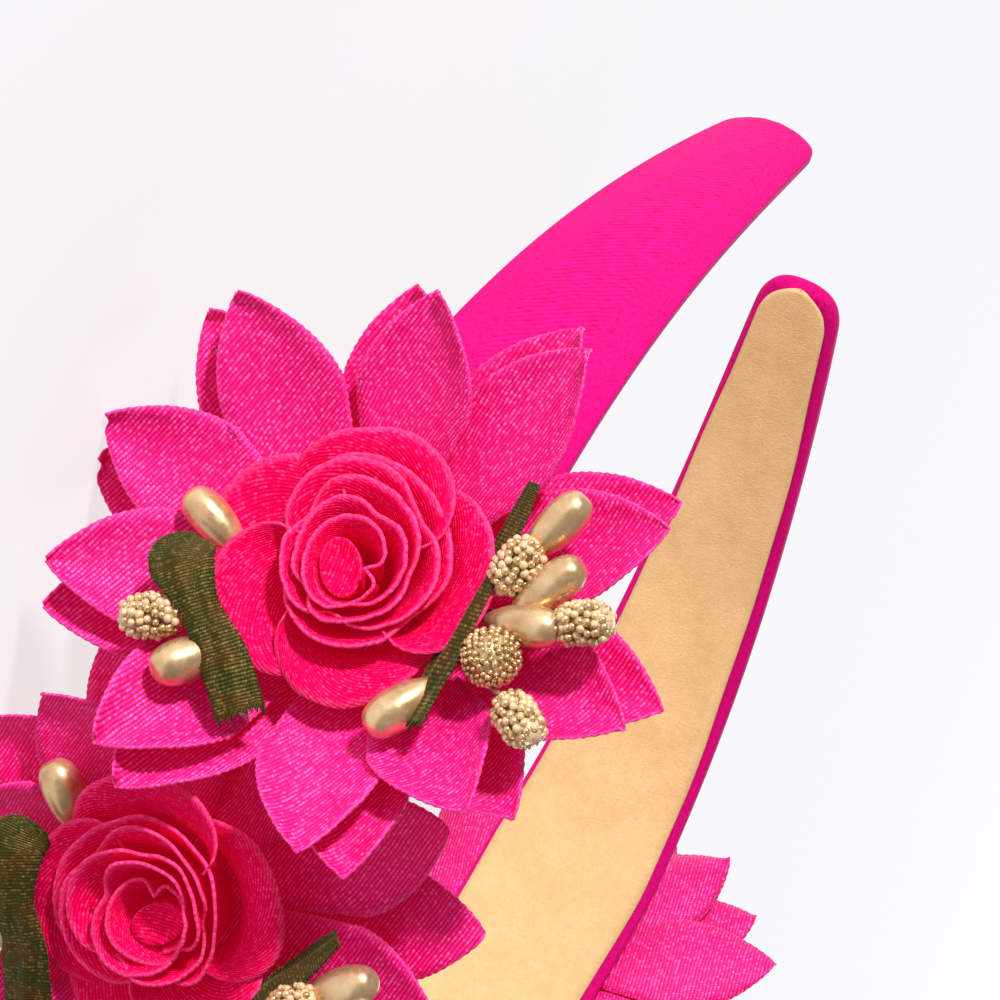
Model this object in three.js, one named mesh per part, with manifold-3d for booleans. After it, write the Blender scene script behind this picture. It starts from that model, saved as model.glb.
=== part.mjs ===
// Flower headband: a padded, cloth-covered horseshoe band with a lining, and six layered cloth flowers on its
// outer face. Each flower has two layers of ten pointed petals, a rolled rosette, two ribbon leaves and two
// sprays of gilt buds on wires. The headband lies on its side: +X is one arm, +Y the crown, +Z up.
import * as THREE from "three";
import { mergeVertices } from "three/addons/utils/BufferGeometryUtils.js";
import Module from "manifold-3d";

const wasm = await Module();
wasm.setup();

// Driving dimensions, in millimetres and degrees
const crownRadius = 62.8; // bend of the band at the crown
const armLength = 196; // along the band, from the crown to a tip
const straightening = 0.94; // share of that bend that is gone at the tips
const straighteningPower = 2.76;
const bandWidth = 25;
const tipWidth = 11;
const taperLength = 90;
const taperPower = 0.8;
const bandThickness = 3;
const edgeRounding = 1.5;
const facePadding = 0.5;
const liningThickness = 1;
const liningMargin = 1.1;
const seatGap = 0.3; // between pieces that touch
const layerGap = 0.5; // between a flower's two layers of petals

const flowerRadius = 33.5; // from the middle to the petals' tips
const petalCount = 10;
const hubRadius = 8;
const notchRadius = 9; // where a petal's middle line leaves the hub
const petalWidth = 14;
const petalThickness = 1;
const cupDepth = 0.9; // what a petal's edges stand above its middle line
const floorReach = 32.8; // from the band's middle down to the surface that the petals rest on
const floorPress = 0.7; // what the lowest petals bend up there

const roseRadius = 15.6;
const roseBaseRadius = 8.6;
const roseCoreRadius = 1.5;
const roseHeight = 9.5;
const roseWave = 0.5;
const roseThickness = 1.1;
const roseTurns = 3;
const roseWinding = 0.75; // power by which the turns draw closer outwards
const roseLobes = 2.5; // waves of the ribbon's upper edge in a turn
const roseRimDrop = 0.15; // share of the height that the last turn lacks

const leafWidth = 6;
const leafThickness = 1;
const budRadius = 2.8;
const budLength = 9.6;
const cobRadius = 2.4;
const cobLength = 7.5;
const ballRadius = 3.3;
const pipSides = 10;
const wireRadius = 0.5;
const wireSides = 5;

// Colours
const satin = { color: 0xff0a6c, roughness: 0.5, metalness: 0 };
const bandCloth = { color: 0xf0128c, roughness: 0.75, metalness: 0 };
const liningCloth = { color: 0xdcae78, roughness: 0.95, metalness: 0 };
const leafRibbon = { color: 0x2f4a1c, roughness: 0.5, metalness: 0 };
const gilt = { color: 0xc9a15c, roughness: 0.32, metalness: 0.8 };

// The flowers, from the one on the +X arm: along is a share of the arm's length from the crown, across one of
// the band's width, turn is in degrees, and sprayShift is what its right spray is moved along, as a share of
// the flower's radius.
const flowers = [
  { along: 0.495, across: 0, turn: 0, sprayShift: 0 },
  { along: 0.304, across: -0.16, turn: 7, sprayShift: 0.06 },
  { along: 0.114, across: 0.03, turn: -9, sprayShift: 0.04 },
  { along: -0.075, across: 0, turn: 5, sprayShift: 0 },
  { along: -0.265, across: -0.04, turn: -6, sprayShift: 0.03 },
  { along: -0.456, across: 0.02, turn: -4, sprayShift: 0.02 },
];
// The petals' cut layers. reach is a share of the flower's radius, turn the first petal's heading, lift a
// petal's slope beside the band, rise what it gains towards the next flower, dip what it loses towards the
// one before, tuck the share of its length lost there, and curl what the slope gains from root to tip.
const petalLayers = [
  { name: "petals_lower", reach: 1.02, turn: 30, lift: 6, rise: 16.6, dip: 12, tuck: 0.4, curl: 5 },
  { name: "petals_upper", reach: 0.99, turn: 18, lift: 14.5, rise: 14, dip: 16.5, tuck: 0.4, curl: 4 },
];
// Rows of each layer's petals from notch to tip, as shares of length, of half width and of cupping.
const petalRows = [
  [{ along: 0.62, halfWidth: 1, cup: 0.5 }],
  [
    { along: 0.6, halfWidth: 1, cup: 0.9 },
    { along: 0.83, halfWidth: 0.68, cup: 1 },
  ],
];

// Pips of a spray: along (towards the next flower) and across (towards +Z) are shares of the flower's
// radius, heading is the way that the free end points, raised is a share of the bud's radius, and wiredTo
// names the pip at the other end of a pip's wire.
const rightPips = [
  { name: "end bud", form: "bud", along: -0.5, across: 0.57, heading: 156, raised: 0.5, wiredTo: "stem bud" },
  { name: "stem bud", form: "bud", along: -0.34, across: 0.69, heading: 150, raised: 0.35 },
  { name: "inner cob", form: "cob", along: -0.27, across: 0.59, heading: 150, raised: 1.3, wiredTo: "stem bud" },
  { name: "outer cob", form: "cob", along: -0.27, across: 0.855, heading: 104, raised: 0.35, wiredTo: "stem bud" },
  { name: "middle bud", form: "bud", along: -0.115, across: 0.66, heading: 100, raised: 0.5, wiredTo: "stem bud" },
  { name: "ball", form: "ball", along: 0.035, across: 0.615, heading: 90, raised: 0.4, wiredTo: "middle bud" },
  { name: "far cob", form: "cob", along: 0.16, across: 0.75, heading: 72, raised: 0.4, wiredTo: "ball" },
  { name: "far bud", form: "bud", along: 0.39, across: 0.385, heading: -20, raised: 0.3, wiredTo: "far cob" },
];
const leftPips = [
  { name: "near bud", form: "bud", along: 0.07, across: -0.59, heading: 262, raised: 0.35, wiredTo: "cob" },
  { name: "cob", form: "cob", along: 0.505, across: -0.55, heading: 308, raised: 0.4 },
  { name: "far bud", form: "bud", along: 0.615, across: -0.375, heading: 334, raised: 0.5, wiredTo: "cob" },
];
// Leaves, row by row from end to end: raised and width are shares of the leaf's width, and stand is the
// angle in degrees by which the ribbon's outer edge stands up from the petals.
const rightLeafRows = [
  { along: -0.54, across: 0.43, raised: 0.3, width: 0.3, stand: 60 },
  { along: -0.4, across: 0.44, raised: 0.6, width: 0.9, stand: 68 },
  { along: -0.15, across: 0.452, raised: 0.7, width: 1, stand: 72 },
  { along: 0.1, across: 0.462, raised: 0.7, width: 0.9, stand: 72 },
  { along: 0.27, across: 0.48, raised: 0.5, width: 0.4, stand: 70 },
];
const leftLeafRows = [
  { along: 0.15, across: -0.47, raised: 1.6, width: 0.7, stand: -20 },
  { along: 0.27, across: -0.49, raised: 1.8, width: 1.1, stand: -15 },
  { along: 0.395, across: -0.42, raised: 2.5, width: 0.8, stand: -15 },
  { along: 0.494, across: -0.23, raised: 1.5, width: 0.7, stand: -10 },
  { along: 0.598, across: -0.1, raised: 0.5, width: 0.7, stand: -10 },
];

const radians = (degrees) => (degrees * Math.PI) / 180;
const mix = (a, b, share) => a + (b - a) * share;
const point = (x, y, z) => new THREE.Vector3(x, y, z);

// The band's middle line at a length from the crown, + towards +X: its point, outward normal and the way
// to the next flower.
function bandFrame(length) {
  const steps = 60;
  const step = Math.abs(length) / steps;
  const turnAt = (s) =>
    (s - (straightening * s ** (straighteningPower + 1)) /
      ((straighteningPower + 1) * armLength ** straighteningPower)) / crownRadius;
  let x = 0;
  let y = 0;
  for (let i = 0; i < steps; i++) {
    const turn = turnAt((i + 0.5) * step);
    x += Math.cos(turn) * step;
    y -= Math.sin(turn) * step;
  }
  const side = Math.sign(length) || 1;
  const turn = turnAt(Math.abs(length));
  return {
    middle: point(side * x, y, 0),
    outward: point(side * Math.sin(turn), Math.cos(turn), 0),
    forward: point(-Math.cos(turn), side * Math.sin(turn), 0),
  };
}

// Width of the band at a distance from a tip, with a round end of its own radius.
function widthAt(fromTip) {
  const share = Math.min(1, fromTip / taperLength);
  const width = tipWidth + (bandWidth - tipWidth) * share ** taperPower;
  const radius = width / 2;
  return fromTip < radius ? 2 * Math.sqrt(radius ** 2 - (radius - fromTip) ** 2) : width;
}

// A closed solid through rings of points, with both ends filled.
function loft(rings) {
  const sides = rings[0].length;
  const positions = [];
  const index = [];
  for (const ring of rings) for (const p of ring) positions.push(p.x, p.y, p.z);
  for (let i = 0; i + 1 < rings.length; i++)
    for (let j = 0; j < sides; j++) {
      const a = i * sides + j;
      const b = i * sides + ((j + 1) % sides);
      index.push(a, b, b + sides, a, b + sides, a + sides);
    }
  for (const [ring, flip] of [[0, true], [rings.length - 1, false]])
    for (let j = 1; j + 1 < sides; j++) {
      const [a, b, c] = [0, j, j + 1].map((k) => ring * sides + k);
      index.push(a, flip ? c : b, flip ? b : c);
    }
  return facingOut(positions, index);
}

// Geometry from corners and triangles, turned so that its faces point out.
function facingOut(positions, index) {
  const corner = (i) => new THREE.Vector3().fromArray(positions, 3 * i);
  let volume = 0;
  for (let i = 0; i < index.length; i += 3)
    volume += corner(index[i]).dot(corner(index[i + 1]).cross(corner(index[i + 2])));
  const geometry = new THREE.BufferGeometry();
  geometry.setAttribute("position", new THREE.Float32BufferAttribute(positions, 3));
  geometry.setIndex(volume < 0 ? index.slice().reverse() : index);
  return geometry;
}

function solidOf(geometry) {
  const bare = geometry.index ? geometry.toNonIndexed() : geometry.clone();
  bare.deleteAttribute("normal");
  bare.deleteAttribute("uv");
  const weldDistance = 1e-4;
  const merged = mergeVertices(bare, weldDistance);
  return new wasm.Manifold(
    new wasm.Mesh({
      numProp: 3,
      vertProperties: merged.attributes.position.array,
      triVerts: new Uint32Array(merged.index.array),
    }),
  );
}

function geometryOf(solid) {
  const made = solid.getMesh();
  const geometry = new THREE.BufferGeometry();
  geometry.setAttribute("position", new THREE.BufferAttribute(made.vertProperties.slice(), 3));
  geometry.setIndex(new THREE.BufferAttribute(made.triVerts.slice(), 1));
  return geometry;
}

function piece(name, geometry, look) {
  geometry.computeVertexNormals();
  const made = new THREE.Mesh(geometry, new THREE.MeshStandardMaterial(look));
  made.name = name;
  return made;
}

// Lengths from one tip to the other at which the band has a section, with a flat facet across the crown.
function stations(endMargin) {
  const facets = 17;
  const tipArcs = [18, 54, 90];
  const tipRadius = tipWidth / 2;
  const half = [];
  const straightLength = armLength - endMargin - tipRadius;
  for (let i = 0; i < facets; i++) half.push(((i + 0.5) / (facets - 0.5)) * straightLength);
  for (const arc of tipArcs.slice(0, -1).reverse())
    half.push(armLength - endMargin - tipRadius * (1 - Math.cos(radians(arc))));
  return [...half.map((s) => -s).reverse(), ...half];
}

// A strip along the band: section gives its corners as [outward, across] from the local half width.
function strip(endMargin, sideMargin, section) {
  return loft(
    stations(endMargin).map((s) => {
      const { middle, outward } = bandFrame(s);
      const halfWidth = widthAt(armLength - endMargin - Math.abs(s)) / 2 - sideMargin;
      return section(halfWidth).map(([out, across]) =>
        middle.clone().addScaledVector(outward, out).setZ(across),
      );
    }),
  );
}

function bandPiece() {
  const inner = -bandThickness / 2;
  const outer = bandThickness / 2 - facePadding;
  return piece(
    "band",
    strip(0, 0, (half) => {
      const round = Math.min(edgeRounding, half / 2);
      return [
        [inner, round / 2 - half],
        [inner, half - round / 2],
        [0, half],
        [outer, half - round],
        [outer + facePadding, 0],
        [outer, round - half],
        [0, -half],
      ];
    }),
    bandCloth,
  );
}

function liningPiece() {
  const top = -bandThickness / 2 - seatGap;
  const bottom = top - liningThickness;
  return piece(
    "lining",
    strip(liningMargin, edgeRounding / 2, (half) => [
      [bottom, -half],
      [bottom, half],
      [top, half],
      [top, -half],
    ]),
    liningCloth,
  );
}

// How far a heading faces the flower before this one, or the next one, from 0 to 1.
const facingBack = (heading, place) => (place > 0 ? Math.max(0, -Math.cos(radians(heading))) : 0);
const facingOn = (heading, place) =>
  place < flowers.length - 1 ? Math.max(0, Math.cos(radians(heading))) : 0;

// Height of a layer's top above the band, at its hub. The lowest layer has seat 0.
const layerTop = (seat) => seatGap + petalThickness + seat * (layerGap + petalThickness);

// Distance of the surface that the headband lies on from a flower's middle.
const floorUnder = (place) => floorReach + flowers[place].across * bandWidth;

// How far a layer's petal reaches along its heading, a little past the surface below at most.
function petalReach(seat, place, heading) {
  const down = Math.max(0.1, -Math.sin(radians(heading)));
  return Math.min(flowerRadius * petalLayers[seat].reach, (floorUnder(place) + floorPress) / down);
}

// Radius, height and slope of a petal's middle line, on its upper side, at a share of its length.
function petalLine(seat, place, heading, share) {
  const layer = petalLayers[seat];
  const back = facingBack(heading, place);
  const root = layer.lift + layer.rise * facingOn(heading, place) - layer.dip * back;
  const length = (petalReach(seat, place, heading) - notchRadius) * (1 - layer.tuck * back) * share;
  const steps = 6;
  let radius = notchRadius;
  let height = layerTop(seat);
  for (let i = 0; i < steps; i++) {
    const angle = radians(root + (layer.curl * share * (i + 0.5)) / steps);
    radius += (Math.cos(angle) * length) / steps;
    height += (Math.sin(angle) * length) / steps;
  }
  return { radius, height, slope: radians(root + layer.curl * share), cup: cupDepth * (1 - back) };
}

// One cut layer: a hub disc and its petals, as an upper and an under skin joined at the outline.
function petalLayer(seat, place) {
  const layer = petalLayers[seat];
  const positions = [];
  const index = [];
  const skins = [0, petalThickness];
  const pair = (heading, sideways, { radius, height, slope }) =>
    skins.map((depth) => {
      const spot = point(radius + depth * Math.sin(slope), sideways, height - depth * Math.cos(slope));
      spot.applyAxisAngle(point(0, 0, 1), radians(heading));
      positions.push(spot.x, Math.max(spot.y, -floorUnder(place)), spot.z);
      return positions.length / 3 - 1;
    });
  const face = (...pairs) => {
    for (let k = 1; k + 1 < pairs.length; k++) {
      const [a, b, c] = [pairs[0], pairs[k], pairs[k + 1]];
      index.push(a[0], b[0], c[0], a[1], c[1], b[1]);
    }
  };
  const wall = (from, to) => index.push(from[0], from[1], to[1], from[0], to[1], to[0]);
  const step = 360 / petalCount;
  const flat = { height: layerTop(seat), slope: 0 };
  const headings = Array.from({ length: petalCount }, (_, i) => layer.turn + flowers[place].turn + i * step);
  const hub = pair(0, 0, { radius: 0, ...flat });
  const notches = headings.map((heading) => pair(heading - step / 2, 0, { radius: hubRadius, ...flat }));
  headings.forEach((heading, i) => {
    const right = [notches[i]];
    const middle = [pair(heading, 0, petalLine(seat, place, heading, 0))];
    const left = [notches[(i + 1) % petalCount]];
    for (const row of petalRows[seat]) {
      const line = petalLine(seat, place, heading, row.along);
      const cup = row.cup * line.cup;
      const edge = { ...line, radius: line.radius - cup * Math.sin(line.slope), height: line.height + cup };
      const room = edge.radius * Math.tan(radians(step / 2)) - seatGap / 2;
      const half = Math.min((row.halfWidth * petalWidth) / 2, room);
      right.push(pair(heading, -half, edge));
      middle.push(pair(heading, 0, line));
      left.push(pair(heading, half, edge));
    }
    const tip = pair(heading, 0, petalLine(seat, place, heading, 1));
    face(hub, right[0], middle[0], left[0]);
    for (let k = 1; k < middle.length; k++) {
      face(middle[k - 1], right[k - 1], right[k], middle[k]);
      face(middle[k - 1], middle[k], left[k], left[k - 1]);
      wall(right[k - 1], right[k]);
      wall(left[k], left[k - 1]);
    }
    face(middle.at(-1), right.at(-1), tip, left.at(-1));
    wall(right.at(-1), tip);
    wall(tip, left.at(-1));
  });
  return piece(`${layer.name}_${place + 1}`, facingOut(positions, index), satin);
}

const topSeat = petalLayers.length - 1;
const roseSeat = layerTop(topSeat) + seatGap;

// A ribbon rolled from the core outwards, its wraps leaning out and waving like petals.
function rosette(place) {
  const stepsPerTurn = 10;
  const steps = roseTurns * stepsPerTurn;
  const rings = [];
  for (let i = 0; i <= steps; i++) {
    const share = (i / steps) ** roseWinding;
    const turn = (i / stepsPerTurn) * 2 * Math.PI;
    const angle = radians(flowers[place].turn) + turn;
    const base = mix(roseCoreRadius, roseBaseRadius - roseThickness, share);
    const wave = share * roseWave * Math.sin(roseLobes * turn);
    const top = mix(roseCoreRadius, roseRadius - roseWave - roseThickness, share) + wave;
    const height = roseHeight * (1 - roseRimDrop * share ** 2);
    const corner = (radius, z) => point(Math.cos(angle) * radius, Math.sin(angle) * radius, roseSeat + z);
    rings.push([
      corner(base, 0),
      corner(base + roseThickness, 0),
      corner(top + roseThickness, height),
      corner(top, height),
    ]);
  }
  return piece(`rose_${place + 1}`, loft(rings), satin);
}

// Height of the upper petals' highest edge at a spot of the flower, given in shares of its radius.
function petalTopAt(place, { along, across }) {
  const heading = THREE.MathUtils.radToDeg(Math.atan2(across, along));
  const petalLength = petalReach(topSeat, place, heading) - notchRadius;
  const share = (Math.hypot(along, across) * flowerRadius - notchRadius) / petalLength;
  return petalLine(topSeat, place, heading, Math.min(1, Math.max(0, share))).height + cupDepth;
}

// A ribbon through the rows of a table.
function ribbonLeaf(name, place, rows) {
  const middles = rows.map((row) => {
    const height = petalTopAt(place, row) + seatGap + ((row.raised + row.width / 2) * leafWidth) / 2;
    return point(row.along * flowerRadius, row.across * flowerRadius, height);
  });
  const rings = rows.map((row, i) => {
    const before = middles[Math.max(0, i - 1)];
    const after = middles[Math.min(rows.length - 1, i + 1)];
    const way = after.clone().sub(before).normalize();
    const level = point(0, 0, 1).cross(way).normalize();
    const side = level.applyAxisAngle(way, radians(row.stand));
    const thick = way.clone().cross(side);
    const corner = (across, out) =>
      middles[i]
        .clone()
        .addScaledVector(side, (across * row.width * leafWidth) / 2)
        .addScaledVector(thick, (out * leafThickness) / 2);
    return [corner(-1, -1), corner(1, -1), corner(1, 1), corner(-1, 1)];
  });
  return piece(name, loft(rings), leafRibbon);
}

// Half outlines of the pips, as shares of radius and length from the stalk to the free end.
const pipForms = {
  bud: { radius: budRadius, length: budLength, outline: [[0, 0], [0.62, 0.28], [1, 0.68], [0, 1]] },
  cob: { radius: cobRadius, length: cobLength, outline: [[0, 0], [0.92, 0.16], [1, 0.8], [0, 1]] },
  ball: { radius: ballRadius, length: 2 * ballRadius, outline: [[0, 0], [0.92, 0.25], [0.92, 0.75], [0, 1]] },
};

// A straight wire between two spots.
function wireSolid(from, to) {
  const wire = new THREE.CylinderGeometry(wireRadius, wireRadius, from.distanceTo(to), wireSides);
  const way = to.clone().sub(from).normalize();
  wire.applyQuaternion(new THREE.Quaternion().setFromUnitVectors(point(0, 1, 0), way));
  wire.translate(...from.clone().lerp(to, 0.5).toArray());
  return solidOf(wire);
}

// Pips fused into one solid with their wires.
function spray(name, place, pips, shift) {
  const axes = pips.map((pip) => {
    const { radius, length } = pipForms[pip.form];
    return [-0.5, 0.5].map((end) => {
      const reach = (end * length) / flowerRadius;
      const along = pip.along + shift + reach * Math.cos(radians(pip.heading));
      const across = pip.across + reach * Math.sin(radians(pip.heading));
      const height = petalTopAt(place, { along, across }) + seatGap + radius + pip.raised * budRadius;
      return point(along * flowerRadius, across * flowerRadius, height);
    });
  });
  const middles = axes.map(([root, end]) => root.clone().lerp(end, 0.5));
  const solids = pips.map((pip, i) => {
    const { radius, length, outline } = pipForms[pip.form];
    const profile = outline.map(([r, z]) => new THREE.Vector2(r * radius, (z - 0.5) * length));
    const shape = new THREE.LatheGeometry(profile, pipSides);
    const way = axes[i][1].clone().sub(axes[i][0]).normalize();
    shape.applyQuaternion(new THREE.Quaternion().setFromUnitVectors(point(0, 1, 0), way));
    return solidOf(shape.translate(...middles[i].toArray()));
  });
  pips.forEach((pip, i) => {
    const other = pips.findIndex((candidate) => candidate.name === pip.wiredTo);
    if (other >= 0) solids.push(wireSolid(middles[i], middles[other]));
  });
  const fused = solids.reduce((sum, solid) => sum.add(solid));
  return piece(name, geometryOf(fused), gilt);
}

function flower(place) {
  const made = new THREE.Group();
  const { middle, outward, forward } = bandFrame(flowers[place].along * armLength);
  made.quaternion.setFromRotationMatrix(new THREE.Matrix4().makeBasis(forward, point(0, 0, 1), outward));
  made.position.copy(middle).addScaledVector(outward, bandThickness / 2);
  made.position.z = flowers[place].across * bandWidth;
  petalLayers.forEach((_, seat) => made.add(petalLayer(seat, place)));
  made.add(rosette(place));
  made.add(ribbonLeaf(`leaf_right_${place + 1}`, place, rightLeafRows));
  made.add(ribbonLeaf(`leaf_left_${place + 1}`, place, leftLeafRows));
  made.add(spray(`buds_right_${place + 1}`, place, rightPips, flowers[place].sprayShift));
  made.add(spray(`buds_left_${place + 1}`, place, leftPips, 0));
  return made;
}

const pieces = new THREE.Group();
pieces.add(bandPiece(), liningPiece());
flowers.forEach((_, place) => pieces.add(flower(place)));

// The origin is under the middle of the whole headband, on the surface that it lies on.
const bounds = new THREE.Box3().setFromObject(pieces, true);
const centre = bounds.getCenter(new THREE.Vector3());
pieces.position.set(-centre.x, -centre.y, -bounds.min.z);
const headband = new THREE.Group();
headband.add(pieces);

export default headband;
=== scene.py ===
# Flower headband, dressed: padded band, lining, and six cloth flowers with leaves and gilt sprays.
import math
import random

import bpy
from mathutils import Matrix, Vector


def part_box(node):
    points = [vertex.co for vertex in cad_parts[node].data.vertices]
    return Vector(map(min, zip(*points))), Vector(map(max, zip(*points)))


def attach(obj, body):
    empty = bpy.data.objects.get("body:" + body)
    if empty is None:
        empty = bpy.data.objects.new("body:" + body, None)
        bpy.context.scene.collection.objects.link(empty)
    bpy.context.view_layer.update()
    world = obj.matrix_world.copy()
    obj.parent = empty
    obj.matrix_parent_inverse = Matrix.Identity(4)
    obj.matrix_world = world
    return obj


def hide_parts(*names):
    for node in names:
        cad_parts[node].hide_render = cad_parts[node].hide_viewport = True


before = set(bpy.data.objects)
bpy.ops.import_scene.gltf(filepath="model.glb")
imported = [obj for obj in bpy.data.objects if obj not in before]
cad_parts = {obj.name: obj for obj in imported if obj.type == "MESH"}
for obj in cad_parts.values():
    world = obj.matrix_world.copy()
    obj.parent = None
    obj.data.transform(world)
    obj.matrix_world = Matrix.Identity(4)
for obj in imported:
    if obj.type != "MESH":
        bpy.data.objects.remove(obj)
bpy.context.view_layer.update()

mm = 0.001
fullTurn = 6.28  # in radians, for random phases
bpy.ops.object.select_all(action="DESELECT")
bpy.context.scene.view_settings.view_transform = "Standard"


def table(columns, *rows):
    # one dictionary for each row, with the columns' names as its keys
    return [dict(zip(columns.split(), row)) for row in rows]


# Band curve and flower places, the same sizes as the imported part, in millimetres and degrees
bandShape = {
    "crownRadius": 62.8, "armLength": 196, "straightening": 0.94, "straighteningPower": 2.76,
    "width": 25, "tipWidth": 11, "taperLength": 90, "taperPower": 0.8, "thickness": 3,
}
# along is a share of the arm's length, and across a share of the band's width
flowerSpots = table(
    "along across turn roseTurn sprayShift sprayTurn",
    (0.495, 0.0, 0, 0, 0.0, 0),
    (0.304, -0.16, 7, 95, 0.0, -28),
    (0.114, 0.03, -9, 200, 0.04, 6),
    (-0.075, 0.0, 5, 40, 0.0, -8),
    (-0.265, -0.04, -6, 290, 0.03, 5),
    (-0.456, 0.02, -4, 150, 0.02, -6),
)
flowers = range(len(flowerSpots))
bandLow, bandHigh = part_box("band")
crown = Vector(((bandLow[0] + bandHigh[0]) / 2, bandHigh[1] - bandShape["thickness"] / 2 * mm,
                (bandLow[2] + bandHigh[2]) / 2))


def mix(a, b, share):
    return a + (b - a) * share


def clamp(value):
    return max(0.0, min(1.0, value))


def turnedBy(degrees, x, y=0.0):
    # a flat spot turned round the origin
    angle = math.radians(degrees)
    return x * math.cos(angle) - y * math.sin(angle), x * math.sin(angle) + y * math.cos(angle)


def bandFrame(length):
    # middle, outward normal and the way to the next flower, at mm from the crown, + towards +X
    size = bandShape
    power = size["straighteningPower"]

    def turnAt(s):
        gone = size["straightening"] * s ** (power + 1) / ((power + 1) * size["armLength"] ** power)
        return (s - gone) / size["crownRadius"]

    x = y = 0.0
    steps = 60
    step = abs(length) / steps
    for i in range(steps):
        x += math.cos(turnAt((i + 0.5) * step)) * step
        y -= math.sin(turnAt((i + 0.5) * step)) * step
    side = -1 if length < 0 else 1
    turn = turnAt(abs(length))
    middle = crown + Vector((side * x, y, 0)) * mm
    outward = Vector((side * math.sin(turn), math.cos(turn), 0))
    forward = Vector((-math.cos(turn), side * math.sin(turn), 0))
    return middle, outward, forward


def flowerMatrix(place):
    # local x to the next flower, y across the band, z outward, in metres
    spot = flowerSpots[place]
    middle, outward, forward = bandFrame(spot["along"] * bandShape["armLength"])
    origin = middle + outward * bandShape["thickness"] / 2 * mm
    origin.z += spot["across"] * bandShape["width"] * mm
    turned = Matrix((forward, Vector((0, 0, 1)), outward)).transposed().to_4x4()
    turned.translation = origin
    return turned


flowerFrames = [flowerMatrix(place) for place in flowers]


# Camera at the photograph's viewing angle
cameraSetup = {"right": (-0.160, -0.488, 0.858), "back": (0.917, 0.249, 0.313),
               "fromCrown": (0.4581, 0.0300, 0.1414), "lens": 139.9, "sensor": 36, "nearest": 0.01}


def addCamera():
    bpy.ops.object.camera_add()
    camera = bpy.context.object
    right = Vector(cameraSetup["right"]).normalized()
    back = Vector(cameraSetup["back"])
    back = (back - right * back.dot(right)).normalized()
    placed = Matrix((right, back.cross(right), back)).transposed().to_4x4()
    placed.translation = crown + Vector(cameraSetup["fromCrown"])
    camera.matrix_world = placed
    camera.data.lens = cameraSetup["lens"]
    camera.data.sensor_width = cameraSetup["sensor"]
    camera.data.clip_start = cameraSetup["nearest"]
    bpy.context.scene.camera = camera


addCamera()
print("camera placed")


# Shader nodes, and groups of them for the effects that several finishes share
def addNode(tree, kind, inputs, **settings):
    # an input is linked where it is given another node's output, and otherwise set
    node = tree.nodes.new("ShaderNode" + kind)
    for label, value in settings.items():
        setattr(node, label, value)
    for label, value in inputs.items():
        if isinstance(value, bpy.types.NodeSocket):
            tree.links.new(value, node.inputs[label])
        else:
            node.inputs[label].default_value = value
    return node


def calc(tree, operation, *values, clamped=False):
    node = addNode(tree, "Math", dict(enumerate(values)), operation=operation, use_clamp=clamped)
    return node.outputs[0]


def stretched(tree, value, factor, start):
    # a noise's middling values spread out into a share, or a share scaled and shifted
    return calc(tree, "MULTIPLY_ADD", value, factor, start)


def newGroup(name, numbers, results):
    # a group with a vector and the named numbers as its inputs
    group = bpy.data.node_groups.new(name, "ShaderNodeTree")
    group.interface.new_socket(name="Vector", in_out="INPUT", socket_type="NodeSocketVector")
    for way, labels in (("INPUT", numbers), ("OUTPUT", results)):
        for label in labels:
            group.interface.new_socket(name=label, in_out=way, socket_type="NodeSocketFloat")
    given = group.nodes.new("NodeGroupInput").outputs
    return group, given, group.nodes.new("NodeGroupOutput").inputs


def wovenGroup():
    # ribs across the cloth, broken into short stitches, with a painted highlight on the rib crests
    # and a painted glint on single threads
    group, given, put = newGroup(
        "wovenThreads", ["Rib Pitch", "Stitch Pitch", "Angle"], ["Height", "Crest Highlight", "Thread Glint"])
    turned = addNode(group, "VectorRotate", {"Vector": given["Vector"], "Angle": given["Angle"]},
                     rotation_type="Z_AXIS")
    split = addNode(group, "SeparateXYZ", {0: turned.outputs["Vector"]})
    wobble = addNode(group, "TexNoise", {"Vector": given["Vector"], "Scale": 0.35, "Detail": 1})
    drifted = calc(group, "ADD", split.outputs["X"],
                   calc(group, "MULTIPLY", wobble.outputs["Fac"], 0.3))
    across = calc(group, "DIVIDE", drifted, given["Rib Pitch"])
    along = calc(group, "DIVIDE", split.outputs["Y"], given["Stitch Pitch"])
    # each rib's stitches are slipped along it by chance, and each stitch catches its own light
    row = calc(group, "FLOOR", across)
    slip = addNode(group, "TexWhiteNoise", {"W": row}, noise_dimensions="1D")
    slipped = calc(group, "ADD", along, slip.outputs["Value"])
    cell = addNode(group, "CombineXYZ", {0: row, 1: calc(group, "FLOOR", slipped)})
    chance = addNode(group, "TexWhiteNoise", {"Vector": cell.outputs[0]}).outputs["Value"]
    rib = calc(group, "SINE", calc(group, "MULTIPLY", calc(group, "FRACT", across), math.pi))
    stitch = calc(group, "ABSOLUTE", calc(group, "SINE", calc(group, "MULTIPLY", slipped, math.pi)))
    height = calc(group, "MULTIPLY", rib, stretched(group, stitch, 0.4, 0.6))
    # this mask marks a painted highlight on the rib tops, and the next one a painted glint on a few
    # single threads
    crestHighlight = calc(group, "MULTIPLY", calc(group, "POWER", height, 1.8),
                 stretched(group, chance, 0.8, 0.35))
    paintedGlint = calc(group, "MULTIPLY", crestHighlight, calc(group, "POWER", chance, 3.0))
    for label, output in (("Height", height), ("Crest Highlight", crestHighlight), ("Thread Glint", paintedGlint)):
        group.links.new(output, put[label])
    return group


def mottleGroup():
    # soft uneven patches, and a finer grain
    group, given, put = newGroup(
        "softMottle", ["Patch Scale", "Grain Scale"], ["Patches", "Grain"])
    for label, scale, detail in (("Patches", "Patch Scale", 3), ("Grain", "Grain Scale", 4)):
        noise = addNode(group, "TexNoise",
                        {"Vector": given["Vector"], "Scale": given[scale], "Detail": detail})
        group.links.new(noise.outputs["Fac"], put[label])
    return group


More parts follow.
